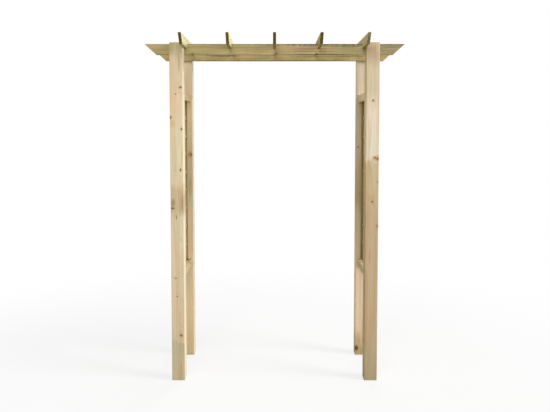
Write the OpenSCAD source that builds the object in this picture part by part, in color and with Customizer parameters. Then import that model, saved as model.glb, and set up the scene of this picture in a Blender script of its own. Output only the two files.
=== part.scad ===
// Timber garden arch: four square posts, two long beams on their inner sides,
// rafters notched over the beams, and a trellis panel between rails on each side.
// Millimetres. X runs across the way through, Y along it and Z up.
// The origin is on the ground in the middle of the arch.

/* [Way through] */
// Clear width between the left and right posts
passage_w = 1250; // [900:10:1800]
// Clear gap between a front post and the back post behind it
side_gap = 440; // [300:10:900]

/* [Posts] */
// Side of the square section of a post
post_w = 90; // [75:1:120]
// Height of a post
post_h = 2340; // [2050:10:2600]
// Radius of the eased edges along a post
post_ease = 4; // [1:0.5:8]

/* [Beams] */
// Length of a beam along its top edge
beam_l = 1800; // [1700:10:2600]
// Height of a beam
beam_h = 75; // [50:1:120]
// Thickness of a beam
beam_t = 20; // [15:1:40]
// How far each end of a beam slants inwards from its top edge to its bottom edge
beam_slant = 82; // [0:1:120]

/* [Rafters] */
// Number of rafters, evenly spaced between the posts
rafter_count = 5; // [3:1:7]
// Length of a rafter along its top edge
rafter_l = 1050; // [900:10:1400]
// Height of a rafter
rafter_h = 67; // [50:1:120]
// Thickness of a rafter
rafter_t = 20; // [15:1:40]
// How far each end of a rafter slants inwards from its top edge to its bottom edge
rafter_slant = 67; // [0:1:120]
// Depth of the notches that drop a rafter over the beams
notch_depth = 30; // [10:1:40]

/* [Side panels] */
// Height of the underside of a side panel above the ground
panel_z = 710; // [100:5:900]
// Height of a side panel
panel_h = 1300; // [600:10:1500]
// How far the rails are set back from the inner faces of the posts
panel_set_back = 10; // [0:1:30]
// Height of a rail
rail_h = 50; // [30:1:60]
// Thickness of a rail
rail_t = 70; // [30:1:75]
// Face width of a stile
stile_w = 24; // [20:1:45]
// Thickness of a stile
stile_t = 18; // [16:1:30]
// Depth of the groove that holds the ends of the slats
groove_depth = 10; // [6:1:14]

/* [Trellis] */
// Width of a slat
slat_w = 24; // [18:1:40]
// Thickness of a slat
slat_t = 6; // [5:0.5:7]
// Number of level slats, evenly spaced between the rails
level_count = 8; // [4:1:12]
// Number of upright slats, evenly spaced between the stiles
upright_count = 2; // [1:1:4]

/* [Hidden] */
// Radius of the eased edges along beams, rafters, rails and stiles
board_ease = 2;
// Sideways play of a beam in the notches of a rafter
notch_play = 1;
// Play between the end of a slat and the bottom of its groove
groove_play = 1;
// How far crossing slats bite into each other where they are fastened
slat_bite = 0.5;
// Overlap that keeps a cut clear of the face it starts from
cut_over = 1;
// Facets of a full eased corner circle
ease_facets = 24;

sides = [["left", -1], ["right", 1]];
ends = [["front", -1], ["back", 1]];

post_x = (passage_w + post_w) / 2;
post_y = (side_gap + post_w) / 2;
beam_y = (side_gap - beam_t) / 2;
beam_z = post_h - beam_h / 2;
rafter_z = post_h - notch_depth + rafter_h / 2;
rafter_step = (passage_w - rafter_t) / (rafter_count - 1);

panel_x = passage_w / 2 + panel_set_back + rail_t / 2;
panel_mid_z = panel_z + panel_h / 2;
stile_y = (side_gap - stile_w) / 2;
stile_h = panel_h - 2 * rail_h;
trellis_t = 2 * slat_t - slat_bite;
trellis_w = side_gap - 2 * stile_w;
slat_seat = groove_depth - groove_play;
level_step = (stile_h + slat_w) / (level_count + 1);
upright_step = (trellis_w + slat_w) / (upright_count + 1);

post_names = [for (e = ends, s = sides) str(e[0], "_", s[0], "_post")];
beam_names = [for (e = ends) str(e[0], "_beam")];
rafter_names = [for (i = [1 : rafter_count]) str("rafter_", i)];
panel_parts = ["top_rail", "bottom_rail", "front_stile", "back_stile", "lattice"];
panel_names = [for (s = sides, p = panel_parts) str(s[0], "_", p)];

// Rectangle with rounded corners, centred
module eased_rectangle(width, height, ease) {
    square([width - 2 * ease, height], center = true);
    square([width, height - 2 * ease], center = true);
    for (x = [-1, 1], y = [-1, 1])
        translate([x * (width / 2 - ease), y * (height / 2 - ease)])
            circle(ease, $fn = ease_facets);
}

// Board on edge along X, centred, with both ends slanting inwards towards its bottom edge
module slant_ended_board(length, height, thickness, slant) {
    half_top = length / 2;
    half_bottom = length / 2 - slant;
    intersection() {
        rotate([90, 0, 90])
            linear_extrude(length, center = true)
                eased_rectangle(thickness, height, board_ease);
        rotate([90, 0, 0])
            linear_extrude(thickness + 2 * cut_over, center = true)
                polygon([[-half_top, height / 2], [half_top, height / 2],
                         [half_bottom, -height / 2], [-half_bottom, -height / 2]]);
    }
}

// One post, placed by the side and the end of the arch that it stands at
module post(side, end) {
    color("#d6c39c")
        translate([side * post_x, end * post_y, 0])
            linear_extrude(post_h)
                eased_rectangle(post_w, post_w, post_ease);
}

// One beam, against the inner faces of the two posts at its end of the arch
module beam(end) {
    color("#a89a68")
        translate([0, end * beam_y, beam_z])
            slant_ended_board(beam_l, beam_h, beam_t, beam_slant);
}

// One rafter, counted from the left, notched to sit down over both beams
module rafter(index) {
    rafter_x = (index - (rafter_count - 1) / 2) * rafter_step;
    color("#b3a26f")
        translate([rafter_x, 0, rafter_z])
            difference() {
                rotate([0, 0, 90])
                    slant_ended_board(rafter_l, rafter_h, rafter_t, rafter_slant);
                for (end = [-1, 1])
                    translate([0, end * beam_y, notch_depth - rafter_h / 2 - rafter_h])
                        linear_extrude(rafter_h)
                            square([rafter_t + 2 * cut_over, beam_t + notch_play], center = true);
            }
}

// Section of a rail or stile, with the groove for the slats in its upper edge
module grooved_section(thickness, height) {
    difference() {
        eased_rectangle(thickness, height, board_ease);
        translate([0, height / 2])
            square([trellis_t, 2 * groove_depth], center = true);
    }
}

// Top or bottom rail of a side panel, running from post to post; level is 1 or -1
module rail(side, level) {
    color("#b09d72")
        translate([side * panel_x, 0, panel_mid_z + level * (panel_h - rail_h) / 2])
            rotate([-90 * level, 0, 0])
                linear_extrude(side_gap, center = true)
                    grooved_section(rail_t, rail_h);
}

// Front or back stile of a side panel, against a post and between the rails
module stile(side, end) {
    color("#b8a67c")
        translate([side * panel_x, end * stile_y, panel_mid_z])
            rotate([0, 0, end < 0 ? 0 : 180])
                linear_extrude(stile_h, center = true)
                    grooved_section(stile_t, stile_w);
}

// Evenly spaced slats in one layer of the trellis
module slat_row(count, step, length) {
    for (i = [0 : count - 1])
        translate([0, (i - (count - 1) / 2) * step])
            square([length, slat_w], center = true);
}

// Trellis of a side panel: upright slats on the inner side and level slats on the outer
// side, fused where they cross, with their ends in the grooves of the rails and stiles
module lattice(side) {
    layer_x = side * (slat_t - slat_bite) / 2;
    color("#a89a68")
        translate([side * panel_x, 0, panel_mid_z]) {
            translate([-layer_x, 0, 0])
                rotate([90, 90, 90])
                    linear_extrude(slat_t, center = true)
                        slat_row(upright_count, upright_step, stile_h + 2 * slat_seat);
            translate([layer_x, 0, 0])
                rotate([90, 0, 90])
                    linear_extrude(slat_t, center = true)
                        slat_row(level_count, level_step, trellis_w + 2 * slat_seat);
        }
}

for (e = ends, s = sides)
    post(s[1], e[1]);
for (e = ends)
    beam(e[1]);
for (i = [1 : rafter_count])
    rafter(i - 1);
for (s = sides) {
    rail(s[1], 1);
    rail(s[1], -1);
    stile(s[1], -1);
    stile(s[1], 1);
    lattice(s[1]);
}
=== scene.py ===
import math
import random

import bmesh
import bpy
from mathutils import Euler, Matrix, Vector


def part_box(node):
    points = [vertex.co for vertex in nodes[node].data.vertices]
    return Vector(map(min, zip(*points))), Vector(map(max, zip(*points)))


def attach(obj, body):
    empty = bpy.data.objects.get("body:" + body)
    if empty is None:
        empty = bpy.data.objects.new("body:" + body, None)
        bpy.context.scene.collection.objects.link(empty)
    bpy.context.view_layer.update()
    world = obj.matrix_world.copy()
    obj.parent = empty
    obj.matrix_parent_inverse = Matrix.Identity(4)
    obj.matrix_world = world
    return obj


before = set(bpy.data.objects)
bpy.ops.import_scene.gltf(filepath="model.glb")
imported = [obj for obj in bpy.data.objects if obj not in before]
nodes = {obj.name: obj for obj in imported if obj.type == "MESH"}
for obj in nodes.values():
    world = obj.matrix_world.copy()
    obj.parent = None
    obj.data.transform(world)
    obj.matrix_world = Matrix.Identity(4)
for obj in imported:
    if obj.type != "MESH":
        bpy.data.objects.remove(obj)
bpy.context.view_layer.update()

sideSigns = {"left": -1, "right": 1}
endSigns = {"front": -1, "back": 1}
zero = (0.0, 0.0, 0.0)
white = (1.0, 1.0, 1.0, 1.0)


def colourOf(code):
    # A paint-card colour as the linear values that shaders use
    parts = [int(code[i:i + 2], 16) / 255 for i in (0, 2, 4)]
    return tuple(p / 12.92 if p <= 0.04045 else ((p + 0.055) / 1.055) ** 2.4 for p in parts) + (1.0,)


def feed(socket, value):
    # Another socket, a plain value or a colour code
    if isinstance(value, bpy.types.NodeSocket):
        socket.id_data.links.new(value, socket)
    else:
        socket.default_value = colourOf(value) if isinstance(value, str) else value


def addNode(tree, kind, values=None, **settings):
    made = tree.nodes.new(kind if kind.startswith("NodeGroup") else "ShaderNode" + kind)
    made.location = (200 * (len(tree.nodes) // 6), -240 * (len(tree.nodes) % 6))
    for name, setting in settings.items():
        setattr(made, name, setting)
    for name, value in (values or {}).items():
        feed(made.inputs[name], value)
    return made


def beside(kind, values, **settings):
    # A node in the tree of the first socket among its values
    tree = next(value.id_data for value in values.values() if isinstance(value, bpy.types.NodeSocket))
    return addNode(tree, kind, values, **settings)


def calc(operation, first, second=0.0, third=0.0):
    return beside("Math", {0: first, 1: second, 2: third}, operation=operation).outputs[0]


def times(first, second):
    return calc("MULTIPLY", first, second)


def timesPlus(first, second, third):
    return calc("MULTIPLY_ADD", first, second, third)


def vectorCalc(operation, first, second=zero):
    made = beside("VectorMath", {0: first, 1: second}, operation=operation)
    return made.outputs["Value" if operation in ("DOT_PRODUCT", "LENGTH") else "Vector"]


def plus(first, second):
    return vectorCalc("ADD", first, second)


def minus(first, second):
    return vectorCalc("SUBTRACT", first, second)


def stretched(vector, amounts):
    return vectorCalc("MULTIPLY", vector, amounts)


def lengthOf(vector):
    return vectorCalc("LENGTH", vector)


def scaled(vector, amount):
    return beside("VectorMath", {0: vector, "Scale": amount}, operation="SCALE").outputs[0]


def partsOf(vector):
    return beside("SeparateXYZ", {0: vector}).outputs


def joined(x, y, z):
    return beside("CombineXYZ", {0: x, 1: y, 2: z}).outputs[0]


def rise(value, low, high):
    # 0 at low and 1 at high, smooth between them; low may be above high
    return beside("MapRange", {"Value": value, "From Min": low, "From Max": high},
                  interpolation_type="SMOOTHSTEP").outputs["Result"]


def thinLine(value, outer, inner):
    # 1 in a thin line along which the value passes one half
    return rise(calc("ABSOLUTE", calc("SUBTRACT", value, 0.5)), outer, inner)


def noise(place, scale, detail, output="Fac"):
    made = beside("TexNoise", {"Vector": place, "Scale": scale, "Detail": detail})
    return made.outputs[output]


def grainNoise(place, across, along, detail, output="Fac"):
    # Noise with its own fineness across the grain and along it, which is Z
    return noise(stretched(place, (across, across, along)), 1.0, detail, output)


def chance(number):
    return beside("TexWhiteNoise", {"W": number}, noise_dimensions="1D").outputs


def mixColour(factor, first, second, mode="MIX"):
    return beside("Mix", {0: factor, 6: first, 7: second}, data_type="RGBA", blend_type=mode).outputs[2]


def tinted(colour, tint, share=1.0):
    return mixColour(share, colour, tint, "MULTIPLY")


def mixVector(factor, first, second):
    return beside("Mix", {0: factor, 4: first, 5: second}, data_type="VECTOR").outputs[1]


def mixValue(factor, first, second):
    return beside("Mix", {0: factor, 2: first, 3: second}, data_type="FLOAT").outputs[0]


def startGroup(name, takes):
    # takes: the name and start value of each input
    tree = bpy.data.node_groups.new(name, "ShaderNodeTree")
    for label, start in takes.items():
        kind = "Float" if isinstance(start, float) else "Vector" if len(start) == 3 else "Color"
        socket = tree.interface.new_socket(label, in_out="INPUT", socket_type="NodeSocket" + kind)
        socket.default_value = start
    return tree, addNode(tree, "NodeGroupInput").outputs


def endGroup(tree, gives):
    # gives: the name of each output and what feeds it
    kinds = {"VALUE": "Float", "VECTOR": "Vector", "RGBA": "Color"}
    for label, source in gives.items():
        tree.interface.new_socket(label, in_out="OUTPUT", socket_type="NodeSocket" + kinds[source.type])
    addNode(tree, "NodeGroupOutput", gives)
    return tree


def placeGroup(group, values):
    return beside("Group", values, node_tree=group).outputs


def pick(sockets, *names):
    return {name: sockets[name] for name in names}


# What is known of the nearest knot while none is found: Reach is 1 at its rim, Flat is the way from
# its middle, and Around is the same in its own radii
noKnot = {"Reach": 9.0, "Size": 0.01, "Tone": 0.0, "Flat": (1.0, 1.0, 1.0), "Around": (9.0, 9.0, 9.0)}
# A knot's width at its inner tip, how much its outline wavers about its least size, how far along the
# board the grain flows round it, how fast that fades, and how far the grain parts and swells
knotValues = {"tip": 0.04, "wavering": 1.1, "least": 0.45, "flow": 0.36, "fading": 0.3,
              "parting": 0.75, "swell": 0.9}


def makeNearestKnot():
    # Keeps the nearer of the knot found so far and one more, a branch that runs in from a face and tapers
    tree, given = startGroup("nearestKnot", {
        "Place": zero, **noKnot, "Centre": zero, "Facing": zero, "Knot Size": 0.012, "Length": 1.4,
        "Depth": 0.06, "Darkness": 0.5})
    offset = minus(given["Place"], given["Centre"])
    along = vectorCalc("DOT_PRODUCT", offset, given["Facing"])
    flat = minus(offset, scaled(given["Facing"], along))
    narrowing = calc("DIVIDE", 1 - knotValues["tip"], given["Depth"])
    taper = calc("MAXIMUM", timesPlus(along, narrowing, 1.0), knotValues["tip"])
    size = times(given["Knot Size"], taper)
    rounded = stretched(flat, joined(1.0, 1.0, calc("DIVIDE", 1.0, given["Length"])))
    around = scaled(rounded, calc("DIVIDE", 1.0, size))
    reach = lengthOf(around)
    closer = calc("LESS_THAN", reach, given["Reach"])
    return endGroup(tree, {"Reach": calc("MINIMUM", reach, given["Reach"]),
                           "Size": mixValue(closer, given["Size"], size),
                           "Tone": mixValue(closer, given["Tone"], given["Darkness"]),
                           "Flat": mixVector(closer, given["Flat"], flat),
                           "Around": mixVector(closer, given["Around"], around)})


def makePartedGrain():
    # The grain parts round the nearest knot and swells there, and the knot's outline is uneven
    tree, given = startGroup("partedGrain", {"Place": zero, **noKnot})
    own = timesPlus(given["Tone"], 31.0, times(given["Size"], 900.0))
    outline = timesPlus(noise(plus(given["Around"], own), 1.0, 3.0), knotValues["wavering"],
                        knotValues["least"])
    flow = stretched(given["Flat"], (1.0, 1.0, knotValues["flow"]))
    away = calc("DIVIDE", lengthOf(flow), given["Size"])
    near = calc("EXPONENT", times(calc("POWER", away, 2.0), -knotValues["fading"]))
    sideways = stretched(given["Flat"], (1.0, 1.0, 0.0))
    shift = scaled(sideways, times(near, knotValues["parting"]))
    return endGroup(tree, {"Coordinates": minus(given["Place"], shift),
                           "Reach": times(given["Reach"], outline),
                           "Swell": times(times(near, given["Size"]), knotValues["swell"])})


# Noises, as fineness across and along and detail, bend the pith and push the rings out of round by up to
# lumpHeight in metres; a ring darkens slowly and ends sharply, and the palest has the share faintest
ringValues = {"sway": (1.0, 1.1, 2.0), "lumps": (16.0, 1.3, 3.0), "lumpHeight": 0.011,
              "rising": (0.25, 0.88), "falling": (1.0, 0.95), "faintest": 0.35}


def makeRing():
    # Growth rings round a pith that wanders a little along the board
    tree, given = startGroup("growthRings", {
        "Coordinates": zero, "Swell": 0.0, "Pith": zero, "Ring Width": 0.004, "Wander": 0.012,
        "Seed": zero})
    seeded = plus(given["Coordinates"], given["Seed"])
    lengthwise = stretched(seeded, (0.0, 0.0, 1.0))
    sway = grainNoise(lengthwise, *ringValues["sway"], "Color")
    sway = scaled(minus(sway, (0.5, 0.5, 0.5)), given["Wander"])
    fromPith = minus(minus(given["Coordinates"], given["Pith"]), sway)
    fromPith = stretched(fromPith, (1.0, 1.0, 0.0))
    radius = calc("ADD", lengthOf(fromPith), given["Swell"])
    grown = timesPlus(grainNoise(seeded, *ringValues["lumps"]), ringValues["lumpHeight"], radius)
    count = calc("DIVIDE", grown, given["Ring Width"])
    share = calc("FRACT", count)
    dense = times(rise(share, *ringValues["rising"]), rise(share, *ringValues["falling"]))
    ringSeed = calc("ADD", calc("FLOOR", count), partsOf(given["Seed"])[0])
    ring = chance(ringSeed)["Value"]
    parts = partsOf(fromPith)
    strength = timesPlus(ring, 1 - ringValues["faintest"], ringValues["faintest"])
    return endGroup(tree, {"Latewood": times(dense, strength), "Radius": radius,
                           "Angle": calc("ARCTAN2", parts[1], parts[0])})


# Noises along the grain: how fine they are across it and along it, their detail, and where they start
fibreNoises = {
    "fine": (900.0, 14.0, 3.0, None), "middle": (230.0, 3.5, 3.0, None), "broad": (42.0, 1.4, 3.0, None),
    "streaks": (95.0, 1.5, 4.0, (2.0, 4.0, 8.0)), "patches": (11.0, 2.6, 3.0, None),
    "cracks": (60.0, 1.1, 1.0, (7.0, 3.0, 5.0)), "cracked": (20.0, 2.2, 1.0, (1.0, 9.0, 2.0)),
    "drift": (11.0, 3.4, 2.0, (5.0, 1.0, 3.0)),
}


def makeFibre():
    # Fibres, broad bands of colour, dark streaks, patches where the treatment soaked in, and drying cracks
    tree, given = startGroup("fibre", {"Coordinates": zero, "Seed": zero})
    seeded = plus(given["Coordinates"], given["Seed"])
    noises = {}
    for layer, (across, along, detail, start) in fibreNoises.items():
        place = plus(seeded, start) if start else seeded
        noises[layer] = grainNoise(place, across, along, detail)
    cracks = times(thinLine(noises["cracks"], 0.006, 0.001), rise(noises["cracked"], 0.62, 0.68))
    return endGroup(tree, {"Fine": mixValue(0.45, noises["fine"], noises["middle"]),
                           "Broad": rise(noises["broad"], 0.3, 0.72),
                           "Streaks": rise(noises["streaks"], 0.52, 0.7),
                           "Patches": rise(noises["patches"], 0.42, 0.7),
                           "Drift": rise(noises["drift"], 0.34, 0.66), "Cracks": cracks})


def makeEndGrain():
    # Where the saw crossed the grain: darker, rough and split by fine checks from the pith
    tree, given = startGroup("endGrain", {
        "Normal": zero, "Grain": zero, "Coordinates": zero, "Angle": 0.0, "Radius": 0.0, "Seed": zero})
    end = rise(calc("ABSOLUTE", vectorCalc("DOT_PRODUCT", given["Normal"], given["Grain"])), 0.3, 0.6)
    turn = joined(calc("COSINE", given["Angle"]), calc("SINE", given["Angle"]), times(given["Radius"], 14.0))
    ray = noise(plus(scaled(turn, 2.4), given["Seed"]), 1.0, 1.0)
    pores = noise(plus(given["Coordinates"], given["Seed"]), 1400.0, 2.0)
    return endGroup(tree, {"End": end, "Checks": times(thinLine(ray, 0.016, 0.004), end), "Pores": pores})


def makeEdge():
    # The eased long edges of a board, a little broken where they were knocked
    tree, given = startGroup("easedEdge", {"Coordinates": zero, "Half Section": zero, "Width": 0.004})
    inside = partsOf(minus(given["Half Section"], vectorCalc("ABSOLUTE", given["Coordinates"])))
    width = times(given["Width"], timesPlus(noise(given["Coordinates"], 90.0, 3.0), 1.6, 0.2))
    return endGroup(tree, {"Edge": rise(calc("MAXIMUM", inside[0], inside[1]), width, 0.0)})


def makePatch():
    # A soft-edged patch of another tint, such as heartwood, sap or a spot that took up more treatment
    tree, given = startGroup("tintedPatch", {
        "Color": white, "Place": zero, "Centre": zero, "Spread": zero, "Tint": white, "Strength": 1.0})
    offset = vectorCalc("DIVIDE", minus(given["Place"], given["Centre"]), given["Spread"])
    ragged = grainNoise(given["Place"], 60.0, 9.0, 3.0)
    reach = timesPlus(ragged, 0.9, lengthOf(offset))
    share = times(rise(reach, 1.55, 0.75), given["Strength"])
    return endGroup(tree, {"Color": tinted(given["Color"], given["Tint"], share)})


nearestKnotGroup = makeNearestKnot()
partedGrainGroup = makePartedGrain()
ringGroup = makeRing()
fibreGroup = makeFibre()
endGrainGroup = makeEndGrain()
edgeGroup = makeEdge()
patchGroup = makePatch()

# The warm and the cool drift of the colour, how much stronger fibres show in green and blue than in red,
# and what each feature adds to the roughness and the height of the surface
pineValues = {
    "drifts": ("fff8f2", "f5fcf3"), "greenFibre": 1.1, "blueFibre": 1.25, "plainRoughness": 0.6,
    "roughness": {"fibre": 0.16, "latewood": -0.08, "sawnEnd": 0.15},
    "height": {"fibre": 0.55, "latewood": 0.22, "cracks": -1.6, "splits": -1.0, "pores": 0.8, "rim": -0.6},
}
woodColours = ("Pale", "Warm", "Late", "Soaked", "Live Knot", "Dead Knot", "Sawn End", "Edge")


def summed(parts, shares, total=None):
    for name, share in shares.items():
        total = times(parts[name], share) if total is None else timesPlus(parts[name], share, total)
    return total


def knotHeart(given, fibre, around):
    # The face of a knot: year rings round its own pith, mottled, and split by drying
    eccentric = lengthOf(minus(around, (0.22, 0.18, -0.25)))
    whorl = calc("SINE", timesPlus(eccentric, 15.0, times(fibre["Fine"], 7.0)))
    heart = mixColour(given["Tone"], given["Live Knot"], given["Dead Knot"])
    heart = mixColour(timesPlus(whorl, 0.07, 0.07), heart, given["Pale"])
    mottle = noise(plus(scaled(around, 1.6), given["Seed"]), 1.0, 3.0)
    heart = mixColour(times(rise(mottle, 0.46, 0.72), 0.4), heart, given["Late"])
    direction = vectorCalc("NORMALIZE", around)
    spoke = noise(plus(scaled(direction, 1.7), given["Seed"]), 1.0, 1.0)
    split = times(thinLine(spoke, 0.035, 0.008), rise(given["Reach"], 0.95, 0.7))
    return mixColour(times(split, 0.75), heart, given["Dead Knot"]), direction, split


def makeTimber():
    # Everything that planed and treated pine shows, from the parted coordinates that the knots leave
    tree, given = startGroup("treatedPine", {
        "Coordinates": zero, "Place": zero, "Normal": zero, "Grain": zero, "Reach": 9.0, "Swell": 0.0,
        "Tone": 0.0, "Around": zero, "Seed": zero, "Pith": zero, "Ring Width": 0.004, "Wander": 0.012,
        "Half Section": zero, **dict.fromkeys(woodColours, white), "Edge Amount": 0.22,
        "Ring Strength": 0.5, "Fibre Strength": 0.2, "Streak Strength": 0.2, "Soak Amount": 0.4,
        "Drift": 0.8})
    rings = placeGroup(ringGroup, pick(given, "Coordinates", "Swell", "Pith", "Ring Width", "Wander",
                                       "Seed"))
    fibre = placeGroup(fibreGroup, pick(given, "Coordinates", "Seed"))
    cut = placeGroup(endGrainGroup, {**pick(given, "Normal", "Grain", "Seed"),
                                     **pick(rings, "Angle", "Radius"), "Coordinates": given["Place"]})
    edge = placeGroup(edgeGroup, {"Coordinates": given["Place"],
                                  "Half Section": given["Half Section"]})["Edge"]

    colour = mixColour(fibre["Broad"], given["Pale"], given["Warm"])
    for feature, amount, tone in ((rings["Latewood"], "Ring Strength", "Late"),
                                  (fibre["Patches"], "Soak Amount", "Soaked"),
                                  (fibre["Streaks"], "Streak Strength", "Live Knot")):
        colour = mixColour(times(feature, given[amount]), colour, given[tone])
    drifting = mixColour(fibre["Drift"], *pineValues["drifts"])
    colour = tinted(colour, mixColour(given["Drift"], white, drifting))
    grain = times(calc("SUBTRACT", fibre["Fine"], 0.5), given["Fibre Strength"])
    colour = tinted(colour, joined(calc("ADD", grain, 1.0), timesPlus(grain, pineValues["greenFibre"], 1.0),
                                   timesPlus(grain, pineValues["blueFibre"], 1.0)))

    # A knot is paler and redder while the branch lived, and has a black rim of bark where it had died
    reach = given["Reach"]
    colour = mixColour(times(rise(reach, 2.7, 0.9), 0.42), colour, given["Late"])
    heart, direction, split = knotHeart(given, fibre, given["Around"])
    knotShare = rise(reach, 1.12, 0.86)
    colour = mixColour(times(knotShare, 0.88), colour, heart)
    rimBreaks = rise(noise(plus(direction, given["Seed"]), 1.1, 1.0), 0.36, 0.6)
    rim = times(times(rise(reach, 0.74, 0.98), rise(reach, 1.2, 1.0)), rimBreaks)
    rim = times(rim, timesPlus(given["Tone"], 0.8, 0.2))
    colour = mixColour(times(rim, 0.8), colour, given["Dead Knot"])

    colour = mixColour(cut["End"], colour, tinted(colour, given["Sawn End"]))
    # Eased edges take the edge colour; where it is dark, on the beams and rafters, it is partly painted shade
    colour = mixColour(times(edge, given["Edge Amount"]), colour, given["Edge"])
    dark = calc("MAXIMUM", fibre["Cracks"], cut["Checks"])
    colour = mixColour(times(dark, 0.6), colour, given["Dead Knot"])

    parts = {"fibre": fibre["Fine"], "latewood": rings["Latewood"], "sawnEnd": cut["End"], "cracks": dark,
             "splits": times(split, knotShare), "pores": times(cut["Pores"], cut["End"]), "rim": rim}
    rough = summed(parts, pineValues["roughness"], pineValues["plainRoughness"])
    return endGroup(tree, {"Color": colour, "Roughness": rough,
                           "Height": summed(parts, pineValues["height"])})


timberGroup = makeTimber()
print("shader groups made")

# How a board lies: the turn that takes its length to its own Z
grainTurns = {"X": Euler((0, math.pi / 2, 0)), "Y": Euler((-math.pi / 2, 0, 0)), "Z": Euler((0, 0, 0))}
grainAxes = {"X": (1, 0, 0), "Y": (0, 1, 0), "Z": (0, 0, 1)}
faceDirections = {"front": (0, -1, 0), "back": (0, 1, 0), "left": (-1, 0, 0), "right": (1, 0, 0),
                  "top": (0, 0, 1), "underside": (0, 0, -1)}
# Tints that one tree, or one end of a board, has against another, and tints used as painted light and shade
# on single faces and edges
tints = {"plain": "ffffff", "cream": "fafbff", "pale": "f6f4ea", "straw": "f0f2e5", "sap": "f7f1e5",
         "rosy": "f5ebe1", "oat": "e6e5db", "tan": "e1d8c6", "clay": "dacdbe", "moss": "dfded1",
         "smoke": "d8d1c8", "heath": "c9c4b4", "damp": "e0e4df", "blush": "fbf1f1", "olive": "b3b69c",
         "rust": "e3cbaa", "bark": "9c8c78", "dusk": "d6d7e2", "lichen": "e0e6b4", "ash": "e0ded6",
         "resin": "cfa878", "reed": "d8d8c1", "dun": "ebe0c5", "honey": "fff8e6", "stone": "cecab5",
         "shade": "f5f7da", "peach": "fff8f0", "peat": "bcb383", "amber": "eac493", "mauve": "f1e2e9",
         "ember": "ffeaa0", "fern": "e6f8ea", "wheat": "f4ead4"}
# The noise that makes the zones along a board ragged and how far it moves them, how much less they tint
# the right face, kept paler as a painted highlight where the side lamp falls, and the bump of the wood with
# its relief in metres
boardValues = {"ragged": (26.0, 5.0, 3.0), "raggedReach": 0.11, "paintedLitFace": "right", "paintedLitShare": -0.85,
               "bump": 0.5, "relief": 0.0008}


def emptyTree(owner):
    owner.use_nodes = True
    owner.node_tree.nodes.clear()
    return owner.node_tree


def startMaterial(name):
    material = bpy.data.materials.new(name)
    tree = emptyTree(material)
    shader = addNode(tree, "BsdfPrincipled", {"Specular IOR Level": 0.1})
    addNode(tree, "OutputMaterial", {"Surface": shader.outputs[0]})
    return material, shader.inputs, addNode(tree, "TexCoord").outputs


def coat(shader, colour, roughness, height, relief, strength=boardValues["bump"]):
    # relief is how high the bump stands in metres
    feed(shader["Base Color"], colour)
    feed(shader["Roughness"], roughness)
    bump = beside("Bump", {"Strength": strength, "Distance": relief, "Height": height})
    feed(shader["Normal"], bump.outputs[0])


def inBoard(grain, vector):
    return grainTurns[grain].to_matrix().inverted() @ Vector(vector)


def laidAlong(grain, place, middle=zero):
    # Coordinates from the middle of a board, with its grain along Z
    values = {"Vector": place, "Location": middle, "Rotation": grainTurns[grain]}
    return beside("Mapping", values, vector_type="TEXTURE").outputs[0]


def facing(space, face):
    return rise(vectorCalc("DOT_PRODUCT", space["Normal"], faceDirections[face]), 0.3, 0.9)


def addKnots(place, board, middle):
    # knots: a point on a face, the face, the radius, 0 for a live pale knot to 1 for a dead one,
    # and the length
    near = noKnot
    for point, face, radius, darkness, length in board["knots"]:
        near = placeGroup(nearestKnotGroup, {
            **pick(near, *noKnot), "Place": place, "Centre": inBoard(board["grain"], Vector(point) - middle),
            "Facing": inBoard(board["grain"], faceDirections[face]), "Knot Size": radius,
            "Darkness": darkness, "Length": length})
    parted = placeGroup(partedGrainGroup, {**pick(near, *noKnot), "Place": place})
    return {**pick(parted, "Coordinates", "Reach", "Swell"), **pick(near, "Tone", "Around")}


def tintAlong(colour, space, axis, zones):
    # Tints that change along a board; zones holds metres along it and the tint there
    start, reach = zones[0][0], zones[-1][0] - zones[0][0]
    ragged = calc("SUBTRACT", grainNoise(space["Object"], *boardValues["ragged"]), 0.5)
    wavy = timesPlus(ragged, boardValues["raggedReach"], partsOf(space["Object"])[axis])
    ramp = beside("ValToRGB", {0: calc("DIVIDE", calc("SUBTRACT", wavy, start), reach)})
    elements = ramp.color_ramp.elements
    while len(elements) < len(zones):
        elements.new(0.5)
    for element, (height, tint) in zip(elements, zones):
        element.position = (height - start) / reach
        element.color = colourOf(tints[tint])
    # Painted highlight: the right face, which the side lamp lights, takes little of the zone tints and stays
    # paler
    share = timesPlus(facing(space, boardValues["paintedLitFace"]), boardValues["paintedLitShare"], 1.0)
    return tinted(colour, ramp.outputs[0], share)


def timberMaterial(name, wood, board):
    material, shader, space = startMaterial(name)
    low, high = board["box"]
    grain, seed = board["grain"], board["seed"]
    middle = (low + high) / 2
    place = laidAlong(grain, space["Object"], middle)
    timber = placeGroup(timberGroup, {
        **addKnots(place, board, middle), **wood["amounts"], **wood["colours"], **board.get("colours", {}),
        "Place": place, "Normal": space["Normal"], "Grain": grainAxes[grain],
        "Seed": (seed * 1.37, seed * 2.11, seed * 0.73), "Pith": board["pith"],
        "Half Section": [abs(h) for h in inBoard(grain, (high - low) / 2)]})
    colour = timber["Color"]
    if "zones" in board:
        colour = tintAlong(colour, space, "XYZ".index(grain), board["zones"])
    for centre, spread, tint, strength in board.get("patches", []):
        colour = placeGroup(patchGroup, {
            "Color": colour, "Place": space["Object"], "Centre": centre, "Spread": spread,
            "Tint": tints[tint], "Strength": strength})["Color"]
    # A tint on a whole face is painted light and shade: one side of a board made lighter or darker for how
    # the light falls on it
    for face, tint in board.get("faces", {}).items():
        colour = tinted(colour, tints[tint], facing(space, face))
    if "tint" in board:
        colour = tinted(colour, tints[board["tint"]])
    coat(shader, colour, timber["Roughness"], timber["Height"], wood.get("relief", boardValues["relief"]))
    return material


def dressNode(name, material):
    slots = nodes[name].material_slots
    if not slots:
        nodes[name].data.materials.append(material)
    for slot in slots:
        slot.material = material


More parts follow.
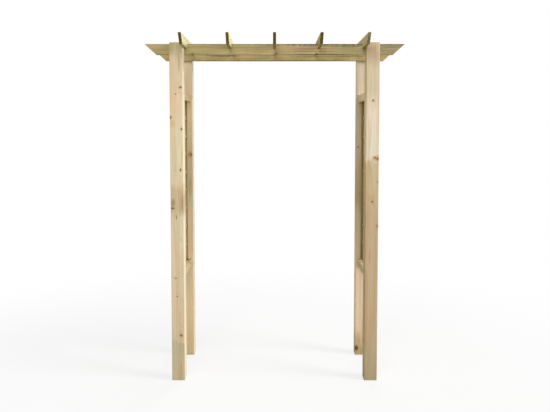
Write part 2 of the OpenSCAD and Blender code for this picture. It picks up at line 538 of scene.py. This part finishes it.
postWood = {
    "colours": {"Pale": "faecd7", "Warm": "f0dbbc", "Late": "ddbb99", "Soaked": "ddd6bb",
                "Live Knot": "a98048", "Dead Knot": "463016", "Sawn End": "d8c9ac", "Edge": "f9ebd1"},
    "amounts": {"Ring Width": 0.0045, "Wander": 0.03, "Ring Strength": 0.42, "Fibre Strength": 0.24,
                "Streak Strength": 0.12, "Soak Amount": 0.35, "Drift": 0.75},
}
# Zones as height and tint; on the front face, knots as height, distance across from the middle, radius,
# darkness and length, and patches as height, distance across, half width, half height, tint and strength,
# with the face if it is another one
postBoards = {
    "front_left_post": {
        "pith": (0.02, 0.062, 0.0),
        "knots": [
            (2.036, 0.03, 0.007, 0.65, 0.8), (1.991, -0.006, 0.0035, 0.8, 1.4),
            (1.832, -0.04, 0.0075, 1.0, 1.1), (1.753, 0.034, 0.0055, 1.0, 1.5),
            (1.473, 0.026, 0.0055, 1.0, 1.7), (1.208, -0.03, 0.012, 0.6, 0.55),
            (0.722, -0.013, 0.005, 0.7, 0.9), (0.726, -0.028, 0.0035, 0.4, 0.8),
            (0.594, -0.005, 0.0045, 0.8, 1.0), (0.319, 0.02, 0.0095, 0.5, 1.0)],
        "zones": [
            (0.0, "moss"), (0.27, "moss"), (0.3, "rosy"), (0.85, "sap"), (1.15, "sap"), (1.2, "tan"),
            (1.33, "tan"), (1.38, "straw"), (1.75, "pale"), (2.0, "rosy"), (2.23, "rosy"), (2.27, "reed")],
        "patches": [
            (2.2, 0.02, 0.007, 0.1, "clay", 0.6), (2.036, 0.028, 0.016, 0.014, "tan", 0.8),
            (1.79, -0.026, 0.02, 0.03, "rust", 0.35), (1.245, -0.026, 0.016, 0.038, "olive", 0.75),
            (1.148, -0.006, 0.007, 0.026, "olive", 1.0), (0.995, 0.024, 0.005, 0.025, "moss", 0.8),
            (1.25, 0.0, 0.2, 0.12, "clay", 0.9, "right")],
    },
    "front_right_post": {
        # Its left face, turned from the side lamp, takes a yellower tint: painted shade colour
        "pith": (-0.018, 0.07, 0.0), "faces": {"left": "shade"},
        "knots": [
            (1.947, 0.002, 0.006, 1.0, 1.2), (1.557, 0.018, 0.01, 0.1, 0.6), (1.549, 0.037, 0.008, 0.6, 0.8),
            (1.391, 0.038, 0.004, 0.9, 1.0), (1.254, 0.002, 0.0055, 0.9, 1.2),
            (1.086, 0.04, 0.005, 0.4, 1.0)],
        "zones": [
            (0.0, "heath"), (0.25, "clay"), (1.15, "clay"), (1.35, "tan"), (1.525, "tan"), (1.55, "cream"),
            (1.88, "cream"), (2.02, "oat"), (2.15, "oat"), (2.24, "smoke")],
        "patches": [
            (1.552, 0.026, 0.036, 0.03, "amber", 0.9), (1.9, 0.047, 0.014, 0.4, "moss", 0.6),
            (1.28, -0.006, 0.03, 0.05, "rust", 0.25), (1.085, 0.036, 0.014, 0.03, "rust", 0.4),
            (0.45, -0.036, 0.016, 0.5, "moss", 0.5), (2.3, 0.0, 0.026, 0.03, "rosy", 0.7)],
    },
    "back_left_post": {
        "pith": (0.03, -0.055, 0.0),
        # Its colours are paler than the other posts' and its zones lighten near the foot: partly painted
        # light, making up for the shade that the right-hand posts and the bottom rail cast on it; its upper
        # part is darker on the left
        "colours": {"Warm": "fcebcd", "Late": "ead0aa", "Soaked": "ece5c8"},
        "knots": [(1.56, 0.034, 0.007, 0.35, 0.8)],
        "zones": [
            (0.0, "wheat"), (0.15, "wheat"), (0.4, "honey"), (0.55, "honey"), (0.76, "peach"),
            (0.85, "mauve"), (1.08, "oat"), (1.2, "damp"), (1.35, "smoke"), (1.5, "smoke"), (1.75, "damp"),
            (1.9, "pale"), (2.05, "peach")],
        "patches": [
            (1.56, 0.024, 0.022, 0.03, "resin", 0.7), (1.3, 0.02, 0.02, 0.1, "moss", 0.7),
            (1.72, -0.03, 0.03, 0.22, "damp", 0.7)],
    },
    "back_right_post": {
        "pith": (-0.025, -0.06, 0.0),
        "knots": [(0.054, -0.035, 0.014, 0.85, 1.4), (1.617, -0.032, 0.005, 0.7, 1.0)],
        "zones": [
            (0.0, "clay"), (0.06, "clay"), (0.2, "peach"), (0.78, "peach"), (1.1, "oat"), (1.2, "stone"),
            (1.32, "stone"), (1.6, "ash"), (1.95, "ash"), (2.02, "cream")],
        "patches": [
            (0.03, 0.006, 0.018, 0.035, "fern", 1.0), (0.054, -0.034, 0.018, 0.022, "ember", 1.0),
            (0.2, 0.012, 0.01, 0.14, "lichen", 0.6), (0.13, -0.02, 0.02, 0.06, "rust", 0.5),
            (2.14, 0.014, 0.026, 0.16, "rust", 0.2), (2.14, -0.034, 0.012, 0.2, "moss", 0.6)],
    },
}
# Chance knots on the other faces of the posts: metres between whorls, how many of the faces have one,
# the radius, how far across, and how far above or below the whorl
whorlValues = {"spacing": 0.48, "share": 0.55, "radius": 0.009, "across": 0.034, "stagger": 0.04}


def facePoint(box, face, height, across):
    # The point on a post's face at this height, measured across it from left to right as +X or +Y runs
    low, high = box
    middle = (low + high) / 2
    away = Vector(faceDirections[face])
    sideways = Vector((1, 0, 0)) if away.y else Vector((0, 1, 0))
    return Vector((middle.x, middle.y, height)) + away * ((high.x - low.x) / 2) + sideways * across


def facePatch(box, height, across, halfWidth, halfHeight, tint, strength, face="front"):
    # A tinted patch that shows on one face of a post
    deep = 0.03
    spread = (halfWidth, deep, halfHeight) if faceDirections[face][1] else (deep, halfWidth, halfHeight)
    return facePoint(box, face, height, across), spread, tint, strength


def whorlKnots(box, rng):
    # Knots in whorls, as branches grow
    spacing, stagger = whorlValues["spacing"], whorlValues["stagger"]
    at = rng.uniform(0.1, spacing)
    while at < box[1].z - 0.05:
        for face in ("back", "left", "right"):
            if rng.random() < whorlValues["share"]:
                across = rng.uniform(-whorlValues["across"], whorlValues["across"])
                radius = whorlValues["radius"] * rng.uniform(0.35, 1.3)
                point = facePoint(box, face, at + rng.uniform(-stagger, stagger), across)
                yield point, face, radius, rng.uniform(0.1, 1.0), rng.uniform(0.9, 1.8)
        at += spacing * rng.uniform(0.8, 1.3)


for order, (name, board) in enumerate(postBoards.items()):
    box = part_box(name)
    knots = [(facePoint(box, "front", height, across), "front", *look)
             for height, across, *look in board["knots"]]
    dressNode(name, timberMaterial(name, postWood, {
        **board, "box": box, "grain": "Z", "seed": 11.3 + 3.7 * order,
        "knots": [*knots, *whorlKnots(box, random.Random(40 + order))],
        "patches": [facePatch(box, *patch) for patch in board["patches"]]}))
print("posts dressed")

# The dark edge colour that the beams and the rafters take is partly the wood's own darker edges and partly
# painted shade along the eased edges
beamWood = {
    "colours": {"Pale": "d7c798", "Warm": "c7b187", "Late": "a08b5f", "Soaked": "a6a072",
                "Live Knot": "93754f", "Dead Knot": "4a381f", "Sawn End": "b8ad90", "Edge": "7d7548"},
    "amounts": {"Ring Width": 0.0038, "Wander": 0.03, "Ring Strength": 0.5, "Fibre Strength": 0.26,
                "Streak Strength": 0.4, "Soak Amount": 0.5, "Edge Amount": 0.75},
}
# The rafters' dark sawn ends are partly end grain and partly painted shade on slanted ends that face down;
# their paler colours are partly painted light for the lit sides
rafterWood = {
    "colours": {**beamWood["colours"], "Pale": "eee6c0", "Warm": "e1d5ac", "Sawn End": "918759"},
    "amounts": {**beamWood["amounts"], "Edge Amount": 0.4},
    "relief": 0.0003,
}
frameWood = {
    "colours": {"Pale": "f6e0b9", "Warm": "eacca2", "Late": "cca677", "Soaked": "d2c299",
                "Live Knot": "94703f", "Dead Knot": "523c21", "Sawn End": "c9bb9c", "Edge": "f6e0b9"},
    "amounts": {"Ring Width": 0.0036, "Wander": 0.02, "Ring Strength": 0.45, "Fibre Strength": 0.26,
                "Streak Strength": 0.2, "Soak Amount": 0.45},
}
stileWood = {
    "colours": {"Pale": "dccc9b", "Warm": "cdb886", "Late": "a98f5e", "Soaked": "aba473",
                "Live Knot": "94733f", "Dead Knot": "4b381c", "Sawn End": "b8ad90", "Edge": "dccc9b"},
    "amounts": frameWood["amounts"],
}
# What single boards have, their own colour and some painted light and shade: a tint for the whole board
# or a face, zones along it, colours, knots instead of or beside the chance ones, and patches as place along,
# height, half length, half height, tint, strength, and how deep they go if they reach other faces
ownLooks = {
    "front_beam": {
        "zones": [
            (-0.9, "pale"), (-0.7, "pale"), (-0.6, "straw"), (-0.2, "straw"), (0.1, "plain"), (0.66, "plain"),
            (0.74, "dusk"), (0.9, "dusk")],
        "knots": [
            ((0.011, -0.22, 2.272), "front", 0.0055, 0.35, 1.8),
            ((0.289, -0.22, 2.272), "front", 0.0055, 0.3, 1.8),
            ((-0.566, -0.22, 2.271), "front", 0.005, 0.3, 1.8)],
        # Along the bottom edge the dark band is painted shadow in the gap above the back beam; dark bands
        # also run along the top edge
        "patches": [
            (0.35, 2.348, 0.62, 0.026, "bark", 1.0, 0.05), (-0.45, 2.346, 0.5, 0.018, "olive", 0.7, 0.05),
            (0.79, 2.274, 0.05, 0.012, "lichen", 0.6), (0.15, 2.3, 0.16, 0.005, "blush", 0.9),
            (0.24, 2.287, 0.22, 0.004, "bark", 0.5), (0.36, 2.31, 0.24, 0.006, "blush", 1.0),
            (0.42, 2.323, 0.3, 0.0035, "bark", 0.7), (0.48, 2.296, 0.18, 0.004, "blush", 0.9),
            (0.32, 2.266, 0.34, 0.008, "bark", 0.8), (-0.02, 2.283, 0.2, 0.005, "rust", 0.6),
            (0.8, 2.318, 0.08, 0.004, "bark", 0.7)],
    },
    "back_beam": {
        "tint": "pale",
        "knots": [
            ((-0.31, 0.22, 2.326), "back", 0.0045, 0.6, 1.4), ((0.36, 0.22, 2.318), "back", 0.004, 0.8, 1.2)],
        # The dark bands along the bottom edge, at 2.267 and 2.268, are painted shade
        "patches": [
            (-0.2, 2.285, 0.5, 0.006, "rust", 0.45), (0.1, 2.268, 0.8, 0.004, "bark", 0.9),
            (0.45, 2.3, 0.4, 0.006, "bark", 0.5), (-0.39, 2.306, 0.16, 0.014, "olive", 0.8),
            (-0.45, 2.267, 0.22, 0.009, "rust", 0.8), (0.79, 2.3, 0.06, 0.03, "lichen", 0.5)],
    },
    "left_top_rail": {"tint": "moss"},
    "right_top_rail": {"colours": {"Pale": "ffedc9", "Warm": "f6dcb4"}},
    "left_bottom_rail": {
        "tint": "oat",
        "ownKnots": [((-0.655, 0.16, 0.76), "top", 0.012, 0.9, 1.4),
                     ((-0.64, 0.08, 0.76), "top", 0.008, 0.7, 1.0),
                     ((-0.635, 0.12, 0.742), "right", 0.007, 0.8, 1.6)],
    },
    "right_bottom_rail": {
        "tint": "ash",
        "ownKnots": [((0.652, 0.17, 0.76), "top", 0.012, 0.9, 1.4),
                     ((0.665, 0.1, 0.76), "top", 0.008, 0.7, 1.0),
                     ((0.635, 0.06, 0.738), "left", 0.006, 0.6, 1.3)],
    },
    # The left back stile's paler colours are partly painted light, brightening it where it stands in the
    # shade of the front post and the panel
    "left_back_stile": {"knots": [((-0.679, 0.21, 1.42), "left", 0.003, 0.1, 1.2)],
                        "colours": {"Pale": "e6d6b0", "Warm": "d8c396"}},
    # The right stiles are tinted darker: partly painted shade on the panel that is turned from the side lamp
    "right_front_stile": {"tint": "heath"},
    "right_back_stile": {"tint": "heath"},
    # The face tints on the rafters are painted light and shade: darker undersides, a tint on the lit right
    # side of the first and a yellower shaded left side on the last two; their own sawn-end colours carry part
    # of the painted shade on the ends
    "rafter_1": {"faces": {"right": "pale", "underside": "tan"}},
    "rafter_2": {"faces": {"underside": "peat"}, "colours": {"Sawn End": "b8b376"}},
    "rafter_3": {"faces": {"underside": "peat"}, "colours": {"Sawn End": "a19a5e"}},
    "rafter_4": {"faces": {"left": "dun", "underside": "peat"}, "colours": {"Sawn End": "b6a86e"}},
    "rafter_5": {"faces": {"left": "dun", "underside": "peat"}, "colours": {"Sawn End": "f6f0ee"}},
}


def axisOf(face):
    return [abs(part) for part in faceDirections[face]].index(1)


def boardKnots(box, grain, rng, spacing, radius):
    # Knots along a thin board, on the wide faces, where they go right through
    low, high = box
    size = high - low
    axis = "XYZ".index(grain)
    sides = sorted((face for face in faceDirections if axisOf(face) != axis),
                   key=lambda face: size[axisOf(face)])
    at = low[axis] + rng.uniform(0.05, spacing)
    while at < high[axis] - 0.05:
        face = sides[rng.randrange(2)]
        thin = axisOf(face)
        other = 3 - axis - thin
        point = (low + high) / 2
        point[axis] = at
        point += Vector(faceDirections[face]) * size[thin] / 2
        point[other] += rng.uniform(-0.32, 0.32) * size[other]
        yield point, face, radius * rng.uniform(0.4, 1.3), rng.uniform(0.1, 1.0), rng.uniform(0.9, 1.8)
        at += spacing * rng.uniform(0.7, 1.4)


def beamPatch(box, across, height, halfLength, halfHeight, tint, strength, deep=0.02):
    # A tinted patch that shows on the front face of a beam
    return (across, box[0].y, height), (halfLength, deep, halfHeight), tint, strength


def dressBoards(names, wood, grain, firstSeed, spacing, radius):
    for order, name in enumerate(names):
        rng = random.Random(firstSeed + order)
        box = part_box(name)
        board = {"box": box, "grain": grain, "seed": firstSeed * 0.9 + 2.9 * order,
                 "pith": (rng.uniform(-0.05, 0.05), rng.choice((-1, 1)) * rng.uniform(0.035, 0.08), 0.0),
                 "knots": list(boardKnots(box, grain, rng, spacing, radius)), **ownLooks.get(name, {})}
        board["knots"] = board["knots"] + board.get("ownKnots", [])
        board["patches"] = [beamPatch(box, *patch) for patch in board.get("patches", [])]
        dressNode(name, timberMaterial(name, wood, board))


dressBoards(["front_beam", "back_beam"], beamWood, "X", 71, 0.6, 0.0045)
dressBoards([f"rafter_{i}" for i in range(1, 6)], rafterWood, "Y", 83, 0.36, 0.006)
dressBoards([f"{s}_{level}_rail" for s in sideSigns for level in ("top", "bottom")], frameWood, "Y",
            97, 0.3, 0.006)
dressBoards([f"{s}_{e}_stile" for s in sideSigns for e in endSigns], stileWood, "Z", 113, 0.4, 0.004)
print("beams, rafters and frames dressed")

# Upright slats lie on the inner side and level slats on the outer side; in the seam, where the layers bite
# into each other, a face belongs to the slat behind it. ownPlace is how far apart in their boards they lay
trellisValues = {"slatWidth": 0.024, "levels": 8, "uprights": 2, "seam": 0.0015, "ownPlace": 3.0,
                 "seeds": {"left": 183.0, "right": 217.0},
                 # The right slats' darker, greener tones are partly painted shade, as that panel's inner side
                 # is turned from the side lamp
                 "tones": {"left": ("e0d8c8", "efe9dc"), "right": ("ccccae", "e8e8cc")}}
trellisWood = {
    "colours": {"Pale": "e6dcae", "Warm": "d8c798", "Late": "b69d6c", "Soaked": "b5b07e",
                "Live Knot": "9d7f4c", "Dead Knot": "4b391c"},
    "amounts": {"Ring Width": 0.0034, "Wander": 0.02, "Ring Strength": 0.4, "Fibre Strength": 0.3,
                "Streak Strength": 0.3, "Soak Amount": 0.5},
}


def trellisSteps(side):
    # How far apart the slats stand, from the space that the rails and stiles leave
    top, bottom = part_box(f"{side}_top_rail")[0].z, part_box(f"{side}_bottom_rail")[1].z
    front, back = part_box(f"{side}_front_stile")[1].y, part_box(f"{side}_back_stile")[0].y
    width = trellisValues["slatWidth"]
    return ((top - bottom + width) / (trellisValues["levels"] + 1),
            (back - front + width) / (trellisValues["uprights"] + 1))


def trellisMaterial(name, side):
    material, shader, space = startMaterial(name)
    low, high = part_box(name)
    sign = sideSigns[side]
    centred = minus(space["Object"], (low + high) / 2)
    parts = partsOf(centred)
    faceWay = vectorCalc("DOT_PRODUCT", space["Normal"], (trellisValues["seam"] * sign, 0.0, 0.0))
    level = calc("GREATER_THAN", times(parts[0], float(sign)), faceWay)
    slatPlace = mixVector(level, centred, laidAlong("Y", centred))
    # An even number of slats either way, so that numbers change in the gaps, the middle among them
    levelStep, uprightStep = trellisSteps(side)
    uprightNumber = calc("FLOOR", calc("DIVIDE", parts[1], uprightStep))
    levelNumber = calc("FLOOR", calc("DIVIDE", parts[2], levelStep))
    own = chance(mixValue(level, calc("ADD", uprightNumber, 31.0), levelNumber))["Color"]
    shifted = plus(slatPlace, scaled(own, trellisValues["ownPlace"]))
    seed = trellisValues["seeds"][side]
    # So thin that they show neither end grain nor eased edges
    timber = placeGroup(timberGroup, {
        **trellisWood["amounts"], **trellisWood["colours"], "Coordinates": shifted, "Place": shifted,
        "Normal": space["Normal"], "Grain": zero, "Seed": (seed, seed * 1.7, seed * 0.3),
        "Pith": (0.04, 0.03, 0.0), "Half Section": (9.0, 9.0, 9.0)})
    tone = mixColour(partsOf(own)[0], *trellisValues["tones"][side])
    coat(shader, tinted(timber["Color"], tone), timber["Roughness"], timber["Height"], 0.0007)
    return material


for side in sideSigns:
    dressNode(f"{side}_lattice", trellisMaterial(f"{side}_lattice", side))
print("trellises dressed")

# Heads of the screws and brads, in metres: how far they stand proud of the wood and reach into it,
# the rounding of their rims, and the six-lobe recess with the swell of its lobes
screwValues = {"radius": 0.0045, "proud": 0.0008, "sunk": 0.0025, "rounding": 0.0003, "segments": 24,
               "recess": 0.0021, "lobes": 0.16, "recessDepth": 0.0007, "recessTaper": 0.00015}
bradValues = {"radius": 0.0014, "proud": 0.0004, "sunk": 0.001, "rounding": 0.0002, "segments": 10}
# Where the screws go, in metres from the middle or an end; a slant is the way that a slanting head faces,
# outwards and then along the other axis
screwPlaces = {"beamSide": 0.021, "beamPair": 0.019, "postPair": 0.018, "postHeight": 0.015,
               "toeHeight": 0.011, "toeSlant": (0.82, 0.57), "railEnd": 0.024, "railPair": 0.012,
               "railSlant": (0.96, 0.28)}
steelValues = {"dull": "6f6c63", "bright": "918f87", "scuffed": "a8a69d", "bump": 0.4, "relief": 0.00008}


def topFace(shape):
    return max(shape.faces, key=lambda face: face.calc_center_median().z)


def meshOf(name, shape):
    mesh = bpy.data.meshes.new(name)
    shape.to_mesh(mesh)
    shape.free()
    return mesh


def addObject(name, data):
    made = bpy.data.objects.new(name, data)
    bpy.context.scene.collection.objects.link(made)
    return made


def makeHead(name, values):
    # A head with its axis on Z and the face of the wood at zero
    shape = bmesh.new()
    depth = values["proud"] + values["sunk"]
    bmesh.ops.create_cone(shape, cap_ends=True, segments=values["segments"], radius1=0.7 * values["radius"],
                          radius2=values["radius"], depth=depth,
                          matrix=Matrix.Translation((0, 0, values["proud"] - depth / 2)))
    bmesh.ops.bevel(shape, geom=list(topFace(shape).edges), offset=values["rounding"], segments=2,
                    profile=0.5, affect="EDGES", material=-1)
    if "recess" in values:
        flat = topFace(shape)
        ring = values["radius"] - values["rounding"] - values["recess"]
        bmesh.ops.inset_individual(shape, faces=[flat], thickness=ring)
        for vert in flat.verts:
            swell = 1 + values["lobes"] * math.cos(6 * math.atan2(vert.co.y, vert.co.x))
            vert.co.x *= swell
            vert.co.y *= swell
        bmesh.ops.inset_individual(shape, faces=[flat], thickness=values["recessTaper"],
                                   depth=-values["recessDepth"])
    bmesh.ops.recalc_face_normals(shape, faces=shape.faces[:])
    return meshOf(name, shape)


def steelMaterial():
    # Zinc plating: dull in clouds, a little scuffed by the driver
    material, shader, space = startMaterial("zinc_plated_steel")
    dull = rise(noise(space["Object"], 700.0, 3.0), 0.35, 0.65)
    scuffs = rise(noise(space["Object"], 2600.0, 2.0), 0.5, 0.7)
    colour = mixColour(dull, steelValues["bright"], steelValues["dull"])
    colour = mixColour(times(scuffs, 0.5), colour, steelValues["scuffed"])
    feed(shader["Metallic"], 1.0)
    coat(shader, colour, timesPlus(dull, 0.2, 0.5), scuffs, steelValues["relief"], steelValues["bump"])
    return material


def placeHeads(name, head, places, material):
    # places: a point on the wood and the way that the head faces
    places = list(places)
    rng = random.Random(len(name) + len(places))
    shape = bmesh.new()
    for point, way in places:
        before = len(shape.verts)
        shape.from_mesh(head)
        shape.verts.ensure_lookup_table()
        turned = Vector(way).to_track_quat("Z", "Y").to_matrix().to_4x4()
        spun = Matrix.Rotation(rng.uniform(0, math.pi), 4, "Z")
        bmesh.ops.transform(shape, matrix=Matrix.Translation(point) @ turned @ spun,
                            verts=shape.verts[before:])
    mesh = meshOf(name, shape)
    mesh.materials.append(material)
    piece = addObject(name, mesh)
    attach(piece, "root")


def beamScrews():
    # Two through each beam into each post, driven from the inner side
    for end, endSign in endSigns.items():
        low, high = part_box(f"{end}_beam")
        inner = high.y if endSign < 0 else low.y
        for side, sideSign in sideSigns.items():
            postLow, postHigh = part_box(f"{end}_{side}_post")
            across = (postLow.x + postHigh.x) / 2 + sideSign * screwPlaces["beamSide"]
            middle = Vector((across, inner, (low.z + high.z) / 2))
            for way in (-1, 1):
                yield middle + Vector((0, 0, way * screwPlaces["beamPair"])), (0, -endSign, 0)


def rafterScrews():
    # Two through each end rafter into each post, one at a slant through each other rafter into each beam
    sideways, upwards = screwPlaces["toeSlant"]
    last = len([name for name in nodes if name.startswith("rafter_")])
    for number in range(1, last + 1):
        low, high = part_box(f"rafter_{number}")
        # End rafters take their screws on the inner side, the others on the outer side
        way = 1 if number == 1 or (last + 1) / 2 <= number < last else -1
        face = high.x if way > 0 else low.x
        for end in endSigns:
            postLow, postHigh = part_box(f"{end}_left_post")
            beamLow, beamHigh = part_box(f"{end}_beam")
            if number in (1, last):
                for pair in (-1, 1):
                    across = (postLow.y + postHigh.y) / 2 + pair * screwPlaces["postPair"]
                    yield (face, across, postHigh.z - screwPlaces["postHeight"]), (way, 0, 0)
            else:
                point = (face, (beamLow.y + beamHigh.y) / 2, beamHigh.z + screwPlaces["toeHeight"])
                yield point, (way * sideways, 0, upwards)


def railScrews():
    # Two at a slant through each end of each rail into the post, driven from outside
    outward, lengthwise = screwPlaces["railSlant"]
    for side, sideSign in sideSigns.items():
        for level in ("top", "bottom"):
            low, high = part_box(f"{side}_{level}_rail")
            face = low.x if sideSign < 0 else high.x
            for endSign in endSigns.values():
                across = endSign * (high.y - screwPlaces["railEnd"])
                for way in (-1, 1):
                    point = (face, across, (low.z + high.z) / 2 + way * screwPlaces["railPair"])
                    yield point, (sideSign * outward, -endSign * lengthwise, 0)


def trellisBrads(side):
    # One where each upright slat crosses each level slat, on the inner side, none quite in line
    low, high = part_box(f"{side}_lattice")
    face = high.x if sideSigns[side] < 0 else low.x
    middle = (low + high) / 2
    levelStep, uprightStep = trellisSteps(side)
    levels, uprights = trellisValues["levels"], trellisValues["uprights"]
    for upright in range(uprights):
        for level in range(levels):
            across = (upright - (uprights - 1) / 2) * uprightStep
            height = (level - (levels - 1) / 2) * levelStep
            nudge = 0.002 * math.sin(5.0 * level + 9.0 * upright)
            yield (face, middle.y + across + nudge, middle.z + height - nudge), (-sideSigns[side], 0, 0)


steel = steelMaterial()
screwHead = makeHead("screw_head", screwValues)
bradHead = makeHead("brad_head", bradValues)
placeHeads("beam_screws", screwHead, beamScrews(), steel)
placeHeads("rafter_screws", screwHead, rafterScrews(), steel)
placeHeads("rail_screws", screwHead, railScrews(), steel)
for side in sideSigns:
    placeHeads(f"{side}_trellis_brads", bradHead, trellisBrads(side), steel)
print("screws and brads placed")

# The floor is white where the viewer looks, most of all far off, keeps the shadow, and throws back little
# light; whitening holds two distances in metres
stageValues = {"size": 60.0, "floorColour": "b9b7b3", "seenGrey": (0.9, 0.9, 0.9, 1), "whiteShare": 0.7,
               "whitening": (1.2, 4.0)}


def seenDirectly(tree):
    # 1 where the viewer sees it straight, mirrored or through a pane, 0 where it only lights other things
    ray = addNode(tree, "LightPath").outputs
    return calc("MAXIMUM", calc("MAXIMUM", ray["Is Camera Ray"], ray["Is Glossy Ray"]),
                ray["Is Transmission Ray"])


def makeFloor():
    shape = bmesh.new()
    bmesh.ops.create_grid(shape, x_segments=1, y_segments=1, size=stageValues["size"] / 2)
    floor = addObject("floor", meshOf("floor", shape))
    material = bpy.data.materials.new("floor")
    tree = emptyTree(material)
    matt = addNode(tree, "BsdfDiffuse", {"Color": stageValues["floorColour"]})
    glow = addNode(tree, "Emission", {"Color": white, "Strength": 1.0})
    seenMatt = addNode(tree, "BsdfDiffuse", {"Color": stageValues["seenGrey"]})
    place = addNode(tree, "TexCoord").outputs["Object"]
    away = rise(lengthOf(place), *stageValues["whitening"])
    share = timesPlus(away, 1 - stageValues["whiteShare"], stageValues["whiteShare"])
    seen = addNode(tree, "MixShader", {0: share, 1: seenMatt.outputs[0], 2: glow.outputs[0]})
    both = addNode(tree, "MixShader", {0: seenDirectly(tree), 1: matt.outputs[0], 2: seen.outputs[0]})
    addNode(tree, "OutputMaterial", {"Surface": both.outputs[0]})
    floor.data.materials.append(material)


makeFloor()

# Soft lamps: place, the point they aim at, size in metres and watts
lampValues = {
    "front": {"place": (-0.6, -3.4, 4.2), "aim": (-0.1, 0.0, 1.5), "size": 2.2, "power": 58.5},
    "side": {"place": (25.1, -8.6, 10.77), "aim": (0.0, 0.0, 1.35), "size": 13.2, "power": 6200.0},
    "back": {"place": (1.2, 5.4, 3.8), "aim": (0.0, 0.0, 1.2), "size": 2.6, "power": 75.0},
}
for name, values in lampValues.items():
    disk = bpy.data.lights.new(name, "AREA")
    disk.shape = "DISK"
    disk.size = values["size"]
    disk.energy = values["power"]
    lamp = addObject(name, disk)
    lamp.location = values["place"]
    lamp.rotation_euler = (Vector(values["aim"]) - lamp.location).to_track_quat("-Z", "Y").to_euler()

# Strength of the light from all round, and of the white that the viewer sees
worldValues = {"light": 0.475, "seen": 1.0}


def makeWorld():
    world = bpy.data.worlds.new("studio")
    bpy.context.scene.world = world
    tree = emptyTree(world)
    strength = mixValue(seenDirectly(tree), worldValues["light"], worldValues["seen"])
    light = addNode(tree, "Background", {"Color": white, "Strength": strength})
    addNode(tree, "OutputWorld", {"Surface": light.outputs[0]})


makeWorld()
bpy.context.scene.view_settings.view_transform = "Standard"

# The viewer, in metres and degrees; the focal length and the sensor are in millimetres
cameraValues = {"aside": 0.003, "distance": 4.878, "height": 1.75, "tiltDown": 3.535,
                "focal": 43.7, "sensor": 36.0, "shiftDown": 0.0641}
lens = bpy.data.cameras.new("camera")
lens.lens = cameraValues["focal"]
lens.sensor_width = cameraValues["sensor"]
lens.shift_y = -cameraValues["shiftDown"]
camera = addObject("camera", lens)
camera.location = (cameraValues["aside"], -cameraValues["distance"], cameraValues["height"])
camera.rotation_euler = (math.radians(90 - cameraValues["tiltDown"]), 0, 0)
bpy.context.scene.camera = camera
print("stage, lamps and camera made")
